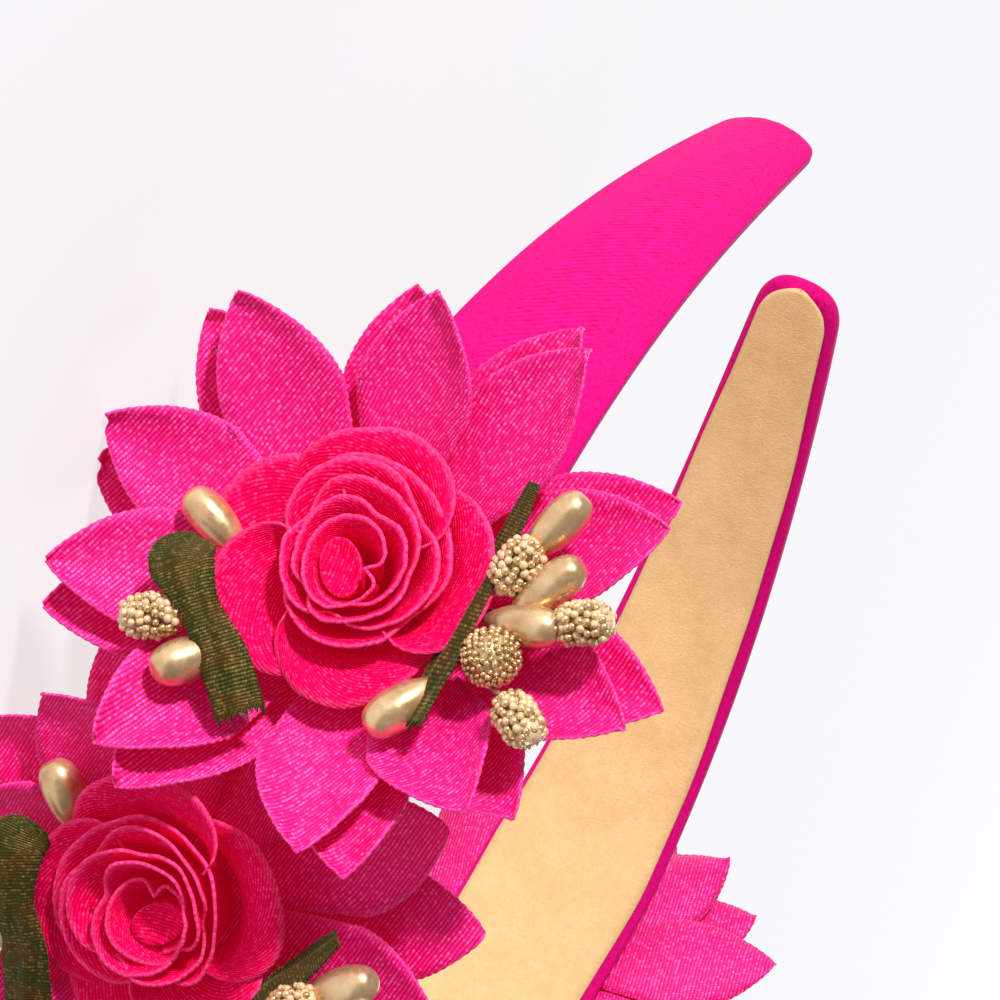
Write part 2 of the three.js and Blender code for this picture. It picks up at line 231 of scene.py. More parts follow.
def cutEdgeGroup():
    # how near the cloth's cut edge a spot is, roughened, from the piece's own edge attribute
    group, given, put = newGroup("cutEdge", ["Edge", "Start"], ["Mask"])
    noise = addNode(group, "TexNoise", {"Vector": given["Vector"], "Scale": 2.4, "Detail": 2})
    rough = calc(group, "ADD", given["Edge"], stretched(group, noise.outputs["Fac"], 0.16, -0.08))
    past = calc(group, "SUBTRACT", rough, given["Start"])
    group.links.new(calc(group, "MULTIPLY", past, 9.0, clamped=True), put["Mask"])
    return group


wovenThreads = wovenGroup()
softMottle = mottleGroup()
cutEdge = cutEdgeGroup()
flatUnit = 100  # millimetres of cloth to one unit of its flat map


def newFinish(name, **sockets):
    material = bpy.data.materials.new(name)
    material.use_nodes = True
    shader = material.node_tree.nodes["Principled BSDF"]
    for label, value in sockets.items():
        shader.inputs[label.replace("_", " ")].default_value = value
    return material, material.node_tree


def grown(tree, vector, scale):
    return addNode(tree, "VectorMath", {0: vector, "Scale": scale}, operation="SCALE").outputs[0]


def flatCloth(tree):
    # the cloth's own flat coordinates, in millimetres
    return grown(tree, addNode(tree, "UVMap", {}, uv_map="flat").outputs[0], flatUnit)


def inMillimetres(tree):
    return grown(tree, addNode(tree, "TexCoord", {}).outputs["Object"], 1 / mm)


def placeGroup(tree, group, vector, **values):
    inputs = {label.replace("_", " "): value for label, value in values.items()}
    return addNode(tree, "Group", {"Vector": vector, **inputs}, node_tree=group).outputs


def layColours(tree, ground, *layers):
    # each layer is a share, 0 to 1, and the tone that it blends in
    colour = (*ground, 1)
    for share, tone in layers:
        colour = addNode(tree, "Mix", {"Factor": share, 6: colour, 7: (*tone, 1)},
                         data_type="RGBA", clamp_factor=True).outputs[2]
    return colour


def dressFinish(material, height, strength, distance, **changing):
    # the relief, and what else changes over the surface, reach the shader
    tree = material.node_tree
    shader = tree.nodes["Principled BSDF"]
    bump = addNode(tree, "Bump", {"Height": height, "Strength": strength, "Distance": distance})
    for label, output in {"Normal": bump.outputs[0], **changing}.items():
        tree.links.new(output, shader.inputs[label.replace("_", " ")])
    return material


# the deep tone is painted shade for the troughs between the ribs, and the three paler tones are
# painted highlights on the rib crests, on single threads and along the cut edges
petalTones = {"deep": (0.36, 0.0, 0.045), "middle": (0.92, 0.002, 0.17), "crestHighlight": (1.0, 0.05, 0.50),
              "paintedGlint": (1.0, 0.27, 0.68), "edge": (0.98, 0.10, 0.45)}
roseTones = {"deep": (0.46, 0.0, 0.02), "middle": (0.84, 0.0, 0.075), "crestHighlight": (0.98, 0.006, 0.19),
             "paintedGlint": (1.0, 0.12, 0.40), "edge": (1.0, 0.13, 0.42)}
# the palest band tone is a painted highlight on the rib tops, and the others are its uneven mottle
# and grain
bandTones = {"deep": (0.54, 0.001, 0.135), "middle": (0.66, 0.003, 0.185),
             "speck": (0.38, 0.0, 0.085), "crestHighlight": (0.95, 0.02, 0.38)}
suedeTones = {"deep": (0.60, 0.37, 0.155), "middle": (0.76, 0.49, 0.245),
              "nap": (0.78, 0.53, 0.28), "pores": (0.50, 0.28, 0.11)}
# the deep tone is painted shade in the troughs between the ribs, and the palest a painted glint on
# single threads; the reddish weft tone comes in patches
leafTones = {"deep": (0.002, 0.005, 0.0008), "middle": (0.018, 0.034, 0.005),
             "weft": (0.13, 0.014, 0.004), "paintedGlint": (0.20, 0.12, 0.03)}
budTones = {"deep": (0.52, 0.30, 0.13), "middle": (0.88, 0.62, 0.36), "glint": (1.0, 0.86, 0.62)}
beadTones = {"deep": (0.50, 0.30, 0.10), "middle": (0.92, 0.70, 0.40), "glint": (1.0, 0.86, 0.62)}
pearlTones = {"pearl": (0.74, 0.49, 0.27), "glitter": (0.46, 0.24, 0.06)}


def satinFinish(name, tones, angle, ribPitch, edgeStart, edgeShare, gloss):
    # the small crimson emission is a painted glow that lifts the cloth's shaded parts, standing in
    # for light passing through and between the petals
    material, tree = newFinish(
        name, Roughness=0.5, Sheen_Weight=0.05 * gloss, Sheen_Roughness=0.35,
        Sheen_Tint=(1, 0.12, 0.5, 1), Specular_IOR_Level=0.45 * gloss,
        Specular_Tint=(1, 0.28, 0.7, 1), Emission_Color=(1, 0, 0.055, 1), Emission_Strength=0.1)
    flat = flatCloth(tree)
    weave = placeGroup(tree, wovenThreads, flat, Rib_Pitch=ribPitch, Stitch_Pitch=0.4, Angle=angle)
    patches = placeGroup(tree, softMottle, flat, Patch_Scale=0.11, Grain_Scale=2.6)
    near = addNode(tree, "Attribute", {}, attribute_name="edge")
    edge = placeGroup(tree, cutEdge, flat, Start=edgeStart, Edge=near.outputs["Fac"])
    # the deep ground shows in the troughs between the ribs as painted shade, and the tone laid on
    # the crests is a painted highlight
    lit = calc(tree, "MULTIPLY", weave["Crest Highlight"], stretched(tree, patches["Patches"], 0.7, 0.3))
    # a painted glint on single threads
    speck = calc(tree, "MULTIPLY", weave["Thread Glint"], 0.4)
    # a pale tone along the roughened cut edges, a painted highlight
    rim = calc(tree, "MULTIPLY", edge["Mask"], calc(tree, "MULTIPLY", patches["Grain"], edgeShare))
    colour = layColours(
        tree, tones["deep"], (weave["Height"], tones["middle"]), (lit, tones["crestHighlight"]),
        (speck, tones["paintedGlint"]), (rim, tones["edge"]))
    return dressFinish(material, weave["Height"], 0.5, 0.00012, Base_Color=colour,
                       Roughness=stretched(tree, weave["Height"], -0.2, 0.54))


def bandFinish(tones):
    material, tree = newFinish(
        "bandSatin", Roughness=0.65, Sheen_Weight=0.1, Sheen_Roughness=0.5,
        Sheen_Tint=(1, 0.15, 0.55, 1), Specular_IOR_Level=0.2, Specular_Tint=(1, 0.1, 0.5, 1))
    flat = flatCloth(tree)
    weave = placeGroup(tree, wovenThreads, flat, Rib_Pitch=0.3, Stitch_Pitch=0.34, Angle=0.35)
    patches = placeGroup(tree, softMottle, flat, Patch_Scale=0.06, Grain_Scale=1.5)
    colour = layColours(
        tree, tones["deep"], (stretched(tree, patches["Patches"], 0.9, -0.15), tones["middle"]),
        (stretched(tree, patches["Grain"], 3.375, -1.35), tones["speck"]),
        # a painted highlight on the rib tops
        (calc(tree, "MULTIPLY", weave["Crest Highlight"], 0.3), tones["crestHighlight"]))
    return dressFinish(material, weave["Height"], 0.35, 0.00006, Base_Color=colour)


def suedeFinish(tones):
    material, tree = newFinish(
        "liningSuede", Roughness=0.95, Sheen_Weight=0.2, Sheen_Roughness=0.6,
        Sheen_Tint=(1, 0.85, 0.55, 1), Specular_IOR_Level=0.08)
    spot = inMillimetres(tree)
    broad = placeGroup(tree, softMottle, spot, Patch_Scale=0.16, Grain_Scale=0.75)
    fine = placeGroup(tree, softMottle, spot, Patch_Scale=2.2, Grain_Scale=5.0)
    colour = layColours(
        tree, tones["deep"], (stretched(tree, broad["Patches"], 1.8, -0.4), tones["middle"]),
        (stretched(tree, broad["Grain"], 0.96, -0.21), tones["nap"]),
        (stretched(tree, fine["Patches"], 0.66, -0.225), tones["pores"]))
    tall = calc(tree, "ADD", fine["Grain"], calc(tree, "MULTIPLY", fine["Patches"], 0.6))
    return dressFinish(material, tall, 0.5, 0.0002, Base_Color=colour)


def leafFinish(tones):
    material, tree = newFinish(
        "leafRibbon", Roughness=0.45, Specular_IOR_Level=0.3, Specular_Tint=(1, 0.8, 0.3, 1),
        Sheen_Weight=0.15, Sheen_Roughness=0.4, Sheen_Tint=(0.7, 0.9, 0.4, 1))
    flat = flatCloth(tree)
    weave = placeGroup(tree, wovenThreads, flat, Rib_Pitch=0.5, Stitch_Pitch=0.38, Angle=1.53)
    patches = placeGroup(tree, softMottle, flat, Patch_Scale=0.16, Grain_Scale=1.2)
    # the deep ground shows as painted shade between the ribs, and single threads get a painted
    # glint
    colour = layColours(
        tree, tones["deep"], (weave["Height"], tones["middle"]),
        (stretched(tree, patches["Patches"], 1.5, -0.6), tones["weft"]),
        (weave["Thread Glint"], tones["paintedGlint"]))
    return dressFinish(material, weave["Height"], 0.6, 0.0001, Base_Color=colour)


def giltFinish(name, tones, roughness, grainScale, strength):
    material, tree = newFinish(name, Metallic=0.72, Coat_Weight=0.25, Coat_Roughness=0.25)
    mottle = placeGroup(tree, softMottle, inMillimetres(tree), Patch_Scale=0.35,
                        Grain_Scale=grainScale)
    colour = layColours(
        tree, tones["deep"], (stretched(tree, mottle["Patches"], 1.5, -0.3), tones["middle"]),
        (stretched(tree, mottle["Grain"], 1.8, -1.0), tones["glint"]))
    return dressFinish(material, mottle["Grain"], strength, 0.00008, Base_Color=colour,
                       Roughness=stretched(tree, mottle["Grain"], 0.25, roughness - 0.12))


def pearlFinish(tones):
    material, tree = newFinish(
        "pearlBead", Roughness=0.3, Coat_Weight=0.6, Coat_Roughness=0.15, Specular_IOR_Level=0.6)
    mottle = placeGroup(tree, softMottle, inMillimetres(tree), Patch_Scale=0.7, Grain_Scale=3.2)
    glitter = stretched(tree, mottle["Grain"], 5.0, -2.7)
    return dressFinish(material, mottle["Grain"], 0.5, 0.00012,
                       Base_Color=layColours(tree, tones["pearl"], (glitter, tones["glitter"])),
                       Metallic=calc(tree, "MULTIPLY", glitter, 0.8, clamped=True))


petalSatin = satinFinish("petalSatin", petalTones, angle=-1.3, ribPitch=0.45,
                         edgeStart=0.92, edgeShare=0.9, gloss=1.0)
roseSatin = satinFinish("roseSatin", roseTones, angle=0.5, ribPitch=0.42,
                        edgeStart=0.93, edgeShare=1.1, gloss=0.1)
bandSatin = bandFinish(bandTones)
liningSuede = suedeFinish(suedeTones)
leafRibbon = leafFinish(leafTones)
budGilt = giltFinish("budGilt", budTones, roughness=0.3, grainScale=1.5, strength=0.02)
beadGilt = giltFinish("beadGilt", beadTones, roughness=0.26, grainScale=2.4, strength=0.4)
pearlBead = pearlFinish(pearlTones)
print("finishes made")


# Cloth helpers: a grid primitive whose vertices are moved along the cloth's shape
def clothGrid(name, columns, rows, shape, flat, edge=None):
    # shape gives a point in metres, flat the cut's coordinates in mm, edge 0 to 1 at the cut edge
    bpy.ops.mesh.primitive_grid_add(x_subdivisions=columns, y_subdivisions=rows, size=2)
    cloth = bpy.context.object
    cloth.name = name
    mesh = cloth.data
    spots = [(v.co.x, (v.co.y + 1) / 2) for v in mesh.vertices]
    flats = [flat(side, share) for side, share in spots]
    mesh.vertices.foreach_set("co", [axis for spot in spots for axis in shape(*spot)])
    mesh.uv_layers[0].name = "flat"
    mesh.uv_layers[0].data.foreach_set(
        "uv", [axis / flatUnit for loop in mesh.loops for axis in flats[loop.vertex_index]])
    if edge:
        near = mesh.attributes.new("edge", "FLOAT", "POINT")
        near.data.foreach_set("value", [edge(side, share) for side, share in spots])
    mesh.update()
    return cloth


def pickOnly(*pieces):
    bpy.ops.object.select_all(action="DESELECT")
    for piece in pieces:
        piece.select_set(True)
    bpy.context.view_layer.objects.active = pieces[0]


def joinPieces(parts, name):
    pickOnly(*parts)
    bpy.ops.object.join()
    parts[0].name = name
    parts[0].select_set(False)
    return parts[0]


def mergeDoubles(piece, distance):
    pickOnly(piece)
    bpy.ops.object.mode_set(mode="EDIT")
    bpy.ops.mesh.select_all(action="SELECT")
    bpy.ops.mesh.remove_doubles(threshold=distance)
    bpy.ops.object.mode_set(mode="OBJECT")
    piece.select_set(False)


def thicken(piece, thickness, offset):
    # thickness in mm, and offset -1 for a wall all on the inner side
    bpy.context.view_layer.objects.active = piece
    wall = piece.modifiers.new("wall", "SOLIDIFY")
    wall.thickness = thickness * mm
    wall.offset = offset
    wall.use_even_offset = False
    bpy.ops.object.modifier_apply(modifier=wall.name)
    piece.data.shade_smooth()


def finishPiece(piece, node, material=None):
    if material:
        piece.data.materials.append(material)
    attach(piece, "root")
    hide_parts(node)
    piece.select_set(False)


# Band cover: padded cloth drawn round the band, and the lining on its inner face
bandCover = {"around": 40, "stations": 220, "puff": 1.125, "tipSquareness": 2.7, "crowding": 1.6,
             "nearArmStretch": 1.4, "closing": 1.6, "sideBulge": 0.42, "faceBulge": 0.4,
             "flatHalf": 27}
liningCloth = {"stations": 200, "across": 16, "thickness": 0.5, "gap": 0.32, "margin": 1.3,
               "sideMargin": 1.15, "waver": 0.07, "edgeLift": 0.12, "flatHalf": 12}


def bandWidthAt(fromTip):
    # tapers to the tips and ends in a squarish round
    size = bandShape
    past = max(0.0, fromTip)
    share = min(1.0, past / size["taperLength"])
    full = size["tipWidth"] + (size["width"] - size["tipWidth"]) * share ** size["taperPower"]
    radius = size["tipWidth"] / 2
    if past >= radius:
        return full
    power = bandCover["tipSquareness"]
    return full * (1 - (1 - past / radius) ** power) ** (1 / power)


def lengthAt(share, endMargin):
    # stations crowd towards the tips, and the arm of the first flower reaches a little further
    centred = 2 * share - 1
    reach = bandShape["armLength"] - endMargin + (bandCover["nearArmStretch"] if centred > 0 else 0)
    crowded = 1 - (1 - abs(centred)) ** bandCover["crowding"]
    return math.copysign(reach * crowded, centred), reach


def bandGrid(name, columns, size, endMargin, section):
    # section gives the mm outward from the band's middle surface and the mm across the band
    frames = {}

    def shape(side, share):
        length, reach = lengthAt(share, endMargin)
        if length not in frames:
            frames[length] = bandFrame(length)
        middle, outward, _ = frames[length]
        level, across = section(side, length, reach - abs(length))
        return middle + outward * level * mm + Vector((0, 0, across * mm))

    def flat(side, share):
        return side * size["flatHalf"], lengthAt(share, endMargin)[0]

    return clothGrid(name, columns, size["stations"], shape, flat)


def makeBand():
    size = bandCover
    half = bandShape["thickness"] / 2

    def section(side, length, fromTip):
        # side 0 is the middle of the outer face, and both ends meet under the lining
        angle = math.pi * side
        closing = min(1.0, (fromTip / size["closing"]) ** 0.5)
        across = math.copysign(abs(math.sin(angle)) ** size["sideBulge"], math.sin(angle))
        level = half - size["puff"] * across ** 2 if math.cos(angle) > 0 else -half
        level *= abs(math.cos(angle)) ** size["faceBulge"]
        return level * closing, across * bandWidthAt(fromTip) / 2

    cover = bandGrid("bandCover", size["around"], size, 0, section)
    mergeDoubles(cover, 0.02 * mm)
    cover.data.shade_smooth()
    finishPiece(cover, "band", bandSatin)


def makeLining():
    size = liningCloth
    rng = random.Random(4)
    waves = [(rng.uniform(0.05, 0.3), rng.uniform(0, fullTurn)) for _ in range(4)]
    inner = bandShape["thickness"] / 2 + size["gap"]

    def section(side, length, fromTip):
        # the cut edges waver a little, and lift towards the band
        wide = max(0.02, bandWidthAt(fromTip) / 2 - size["sideMargin"])
        wave = sum(size["waver"] * math.sin(k * length + phase) for k, phase in waves)
        across = side * (wide + (wave if abs(side) > 0.9 else 0) * min(1, wide / 3))
        return size["edgeLift"] * abs(side) ** 8 - inner, across

    cloth = bandGrid("liningCloth", size["across"], size, size["margin"], section)
    thicken(cloth, size["thickness"], -1)
    finishPiece(cloth, "lining", liningSuede)


makeBand()
makeLining()
print("band and lining made")


# Petals: two cut layers a flower, each of ten petals from one cloth
petalCut = {
    "radius": 33.5, "count": 10, "hub": 8.0, "notch": 9.0, "width": 14.0, "wall": 0.28, "cup": 0.9,
    "floorReach": 32.8, "floorPress": 0.7, "offFloor": 0.3, "firstTop": 1.3, "layerStep": 1.5,
    "columns": 8, "hubRows": 5, "petalRows": 60, "teeth": (-0.0325, 0.0975), "shingle": 0.6,
    "ripple": 0.12, "rootWidth": 0.37, "widestAt": 0.5, "droop": 14, "settling": 0.8,
    "tuckedHeadings": (222, 250), "tuckedReach": 0.84, "clearance": 0.3,
}
# the first flower's petals differ a little from the even cut, in degrees and shares
firstPetals = table(
    "turn pitch reach",
    (4, -3, 1.05), (0, 3, 1.0), (-4, -5, 1.05), (-3, -4, 1.04), (-4, 4, 1.08),
    (-8, 6, 0.99), (-4, 8, 1.05), (-5, 2, 1.03), (-11, -3, 1.03), (-7, 0, 1.05),
)
# lift is the slope beside the band, rise what it gains towards the next flower, and dip what it
# loses towards the one before, where tuck is the share of the length lost
petalLayers = table(
    "node reach turn laterTurn lift rise dip tuck curl",
    ("petals_lower", 1.035, 25, 30, 6, 16.6, 12, 0.4, 5),
    ("petals_upper", 1.02, 18, 12, 14.5, 14, 16.5, 0.4, 4),
)


def floorUnder(place):
    return petalCut["floorReach"] + flowerSpots[place]["across"] * bandShape["width"]


def petalReach(seat, place, heading):
    down = max(0.1, -math.sin(math.radians(heading)))
    return min(petalCut["radius"] * petalLayers[seat]["reach"],
               (floorUnder(place) + petalCut["floorPress"]) / down)


def petalLine(seat, place, heading, share, pitch=0.0, reach=1.0):
    # radius, height, slope and cupping of a petal's middle line at a share of its length
    size, layer = petalCut, petalLayers[seat]
    facing = math.cos(math.radians(heading))
    back = max(0.0, -facing) if place > 0 else 0.0
    onward = max(0.0, facing) if place < flowers[-1] else 0.0
    root = layer["lift"] + layer["rise"] * onward - layer["dip"] * back + pitch
    length = ((petalReach(seat, place, heading) * reach - size["notch"])
              * (1 - layer["tuck"] * back ** 4) * share)
    radius, height = size["notch"], size["firstTop"] + seat * size["layerStep"]
    steps = 6
    for i in range(steps):
        angle = math.radians(root + layer["curl"] * share * (i + 0.5) / steps)
        radius += math.cos(angle) * length / steps
        height += math.sin(angle) * length / steps
    slope = math.radians(root + layer["curl"] * share)
    return radius, height, slope, size["cup"] * (1 - back)


def petalOutline(share):
    # half width as a share of the widest
    widest = petalCut["widestAt"]
    if share < widest:
        return mix(petalCut["rootWidth"], 1.0, math.sin(share / widest * math.pi / 2))
    return max(0.012, math.cos((share - widest) / (1 - widest) * math.pi / 2) ** 0.8)


def makePetal(seat, place, heading, own):
    # one petal with its wedge of the hub, whose rows come first
    size = petalCut
    halfStep = 180 / size["count"]
    rows = size["hubRows"] + size["petalRows"]
    hubTop = size["firstTop"] + seat * size["layerStep"]
    lines = {}

    def rowAt(share):
        row = round(share * rows)
        return row, (row - size["hubRows"]) / size["petalRows"]

    def hubSpot(side, row):
        return turnedBy(heading - side * halfStep, size["hub"] * row / size["hubRows"])

    def shape(side, share):
        row, part = rowAt(share)
        if part <= 0:
            return flowerFrames[place] @ (Vector((*hubSpot(side, row), hubTop)) * mm)
        if row not in lines:
            lines[row] = petalLine(seat, place, heading, part, own["pitch"], own["reach"])
        radius, height, slope, cup = lines[row]
        lift = cup * own["cup"] * side * side * min(1.0, part * 1.6)
        lift *= min(1.0, (1 - part) * 4 + 0.25)
        # never wider than its wedge of the flower
        room = (radius - lift * math.sin(slope)) * math.tan(math.radians(halfStep))
        half = min(petalOutline(part) * size["width"] / 2, room + 0.3 * min(1.0, part * 8))
        toothed = abs(side) > 0.99 and 0.04 < part < 0.985
        sideways = side * (max(0.03, half) + (size["teeth"][row % 2] if toothed else 0.0))
        rise = (lift + own["curl"] * max(0.0, part - 0.62) ** 2 * 6
                + size["ripple"] * math.sin(part * 9 + own["wave"]) * side
                + own["roll"] * side * part + size["shingle"] * side * min(1.0, part * 4))
        x, y = turnedBy(heading, radius - rise * math.sin(slope), -sideways)
        y = max(y, size["offFloor"] - floorUnder(place))
        return flowerFrames[place] @ (Vector((x, y, height + rise * math.cos(slope))) * mm)

    def flat(side, share):
        row, part = rowAt(share)
        if part <= 0:
            return hubSpot(side, row)
        along = size["notch"] + (size["radius"] - size["notch"]) * part
        return turnedBy(heading, along, -side * petalOutline(part) * size["width"] / 2)

    def edge(side, share):
        part = rowAt(share)[1]
        return max(abs(side), clamp((part - 0.9) * 10)) if part > 0 else 0.0

    return clothGrid("petal", size["columns"], rows, shape, flat, edge)


def makePetalLayer(seat, place):
    size, layer = petalCut, petalLayers[seat]
    rng = random.Random(100 * place)
    tuckedFrom, tuckedTo = size["tuckedHeadings"]
    petals = []
    for i in range(size["count"]):
        own = dict(firstPetals[i]) if place == 0 else {
            "turn": rng.uniform(-3, 3), "pitch": rng.uniform(-2.5, 5),
            "reach": rng.uniform(0.97, 1.03)}
        heading = (layer["laterTurn" if place else "turn"] + flowerSpots[place]["turn"]
                   + i * 360 / size["count"] + own["turn"])
        if place == 1 and tuckedFrom < heading < tuckedTo:
            own["reach"] = size["tuckedReach"]  # tucked in behind the first flower
        facing, upward = math.cos(math.radians(heading)), math.sin(math.radians(heading))
        droop = size["droop"] * max(0.0, upward) ** 2 if place > 0 else 0
        # petals that lie against a neighbour keep more to the even pitch
        against = max(0.0, -facing if place > 0 else 0, facing if place < flowers[-1] else 0)
        own.update(
            wave=rng.uniform(0, fullTurn), curl=rng.uniform(-0.3, 0.9),
            pitch=own["pitch"] * (1 - size["settling"] * against) - droop,
            cup=rng.uniform(1.4, 2.3) * (0.6 if droop > 5 else 1), roll=rng.uniform(-0.4, 0.4))
        petals.append(makePetal(seat, place, heading, own))
    cloth = joinPieces(petals, f"{layer['node']}_cloth_{place + 1}")
    mergeDoubles(cloth, 0.012 * mm)
    thicken(cloth, size["wall"], -1)
    finishPiece(cloth, f"{layer['node']}_{place + 1}", petalSatin)


for place in flowers:
    for seat in range(len(petalLayers)):
        makePetalLayer(seat, place)
    print("petals of flower", place + 1, "made")


# Rosette: a ribbon rolled up tight round a spoon-shaped core, and laid back in five lobes outside
roseRibbon = {
    "seat": 3.1, "turns": 4.9, "start": -65, "stepsPerTurn": 64, "across": 8, "wall": 0.36,
    "flat": (10.5, 215), "rightAt": 115, "wobble": 1.35, "ruffle": 0.03,
    "foldTurn": 0.455, "foldDepth": 1.9, "foldWidth": 0.03, "pinchWidth": 0.055,
    # where the rim is drawn in, in turns, and by how many mm, so that it bulges as petals between
    "pinches": [(1.28, 0.9), (1.66, 1.1), (2.10, 1.6), (2.47, 1.2), (2.86, 1.7), (3.22, 1.9),
                (3.60, 1.5), (3.98, 2.1), (4.40, 1.8)],
}
# rim radius of each turn towards four sides of the flower, its root's radius, and its height
roseTurns = table(
    "right top left bottom base height",
    (3.6, 4.6, 4.0, 4.2, 2.0, 8.0),
    (5.6, 5.5, 4.8, 5.1, 2.9, 9.6),
    (8.2, 8.3, 5.9, 6.2, 3.8, 9.9),
    (10.0, 10.3, 6.9, 7.3, 4.6, 9.5),
    (11.4, 11.8, 7.8, 8.5, 5.3, 9.0),
    (12.4, 12.9, 8.6, 9.6, 5.8, 8.4),
)
roseLobes = {
    "steps": 52, "across": 14, "winding": 1.8, "wall": 0.3, "waves": 0.3, "flat": (13, 26),
    "endWidth": 1.3, "endHeights": (8.6, 2.4),
    "lobes": table(
        "middle span base reach height roll cupped",
        (268, 116, 5.6, 17.4, 6.6, 0.6, 1.35),
        (318, 112, 5.4, 15.8, 8.4, 0.5, 1.35),
        (30, 108, 6.6, 15.3, 7.4, 0.5, 1.9),
        (112, 110, 7.4, 16.8, 8.8, 0.2, 1.6),
        (190, 124, 7.0, 16.0, 8.8, 0.6, 1.5),
    ),
}
roseCore = {"wide": 2.3, "long": 3.4, "across": 40, "rows": 16, "wall": 0.25, "height": 7.6,
            "rimAt": 0.55, "rootWidth": 0.72, "hollow": 1.1, "shift": -0.8, "tilt": 12}


def atTurn(column, turn):
    # between the rows of the rosette's turns
    i = min(len(roseTurns) - 2, int(turn))
    return mix(roseTurns[i][column], roseTurns[i + 1][column], turn - i)


def bell(offset, width):
    return math.exp(-((offset / width) ** 2))


def makeRose(place):
    size, lobes, core = roseRibbon, roseLobes, roseCore
    rng = random.Random(7 + place)
    waves = [(rng.uniform(1.2, 3.6), rng.uniform(0, fullTurn), rng.uniform(0.1, 0.26))
             for _ in range(4)]
    fine = [(rng.uniform(12, 26), rng.uniform(0, fullTurn)) for _ in range(3)]
    parts = []

    def addPart(name, piece, rows, shape, flat, edge):
        parts.append(clothGrid(name, piece["across"], rows, shape, flat, edge))
        thicken(parts[-1], piece["wall"], 0)

    def settle(x, y, z):
        x, y = turnedBy(flowerSpots[place]["roseTurn"], x, y)
        return flowerFrames[place] @ (Vector((x, y, size["seat"] + z)) * mm)

    def wobble(angle):
        return sum(amount * math.sin(rate * angle + phase) for rate, phase, amount in waves)

    def ruffle(angle, part):
        return sum(math.sin(rate * angle + phase) for rate, phase in fine) * size["ruffle"] * part

    def rimAt(turn, angle):
        # blends the four sides' radii round the flower
        quarter = ((angle - math.radians(size["rightAt"])) / (math.pi / 2)) % 4
        sides = ("right", "top", "left", "bottom", "right")
        k = int(quarter)
        soft = (1 - math.cos((quarter - k) * math.pi)) / 2
        return mix(atTurn(sides[k], turn), atTurn(sides[k + 1], turn), soft)

    def ribbonShape(side, share):
        turn = size["turns"] * share
        part = (side + 1) / 2
        degrees = size["start"] + 360 * turn
        angle = math.radians(degrees)
        fold = size["foldDepth"] * bell(turn - size["foldTurn"], size["foldWidth"])
        pinch = sum(depth * bell(turn - at, size["pinchWidth"]) for at, depth in size["pinches"])
        top = rimAt(turn, angle) + size["wobble"] * wobble(angle) * clamp(turn / 2) - fold - pinch
        base = atTurn("base", turn)
        radius = base + (top - base) * part ** 1.3 + ruffle(angle, part)
        height = atTurn("height", turn) + 1.3 * wobble(angle * 0.8 + 2) - 0.7 * pinch
        ending = clamp((size["turns"] - turn) / 0.15)
        z = height * (1 - (1 - part) ** 1.2) * mix(0.45, 1.0, ending)
        return settle(*turnedBy(degrees, radius), z)

    wide, long = size["flat"]
    addPart("ribbon", size, int(size["turns"] * size["stepsPerTurn"]), ribbonShape,
            lambda side, share: ((side + 1) / 2 * wide, share * long),
            lambda side, share: (side + 1) / 2)

    for lobe in lobes["lobes"]:
        phase = rng.uniform(0, fullTurn)
        grow = 1 if place == 0 else rng.uniform(0.95, 1.03)

        def lobeShape(side, share):
            part = (side + 1) / 2
            degrees = lobe["middle"] + (share - 0.5) * lobe["span"]
            angle = math.radians(degrees)
            swell = max(0.0, math.sin(math.pi * share)) ** 0.5
            base = lobe["base"] + lobes["winding"] * share
            rim = mix(base + lobes["endWidth"],
                      lobe["reach"] * grow + 0.25 * math.sin(angle * 5 + phase), swell)
            tall = mix(mix(*lobes["endHeights"], share),
                       lobe["height"] + 0.3 * math.sin(angle * 4 + phase), swell)
            radius = base + (rim - base) * part ** 1.5 + ruffle(angle, part)
            wave = lobes["waves"] * part ** 2 * swell * math.sin(angle * 9 + phase * 2)
            over = max(0.0, part - 0.7) / 0.3
            z = tall * (1 - (1 - part) ** lobe["cupped"]) - lobe["roll"] * over ** 2 * swell + wave
            return settle(*turnedBy(degrees, radius), z)

        wide, long = lobes["flat"]
        addPart("lobe", lobes, lobes["steps"], lobeShape,
                lambda side, share: ((side + 1) / 2 * wide, share * long + phase * 5),
                lambda side, share: max((side + 1) / 2, abs(2 * share - 1) ** 3 * 0.9))

    def coreSpot(side, share):
        # an oval roll whose top dips between its rims
        rise = clamp(share / core["rimAt"])
        inward = clamp((share - core["rimAt"]) / (1 - core["rimAt"]))
        reach = mix(core["rootWidth"], 1.0, rise ** 2) * (1 - inward)
        z = core["height"] * rise - core["hollow"] * math.sin(min(1.0, inward * 1.6) * math.pi / 2)
        around = side * math.pi
        return core["wide"] * reach * math.cos(around), core["long"] * reach * math.sin(around), z

    def coreShape(side, share):
        across, along, z = coreSpot(side, share)
        x, y = turnedBy(core["tilt"], across, along)
        return settle(*turnedBy(size["rightAt"], x + core["shift"], y), z)

    addPart("core", core, core["rows"], coreShape, lambda side, share: coreSpot(side, share)[:2],
            lambda side, share: clamp(1 - abs(share - 0.57) / 0.3))
    cloth = joinPieces(parts, f"rose_ribbon_{place + 1}")
    finishPiece(cloth, f"rose_{place + 1}", roseSatin)


for place in flowers:
    makeRose(place)
print("rosettes made")


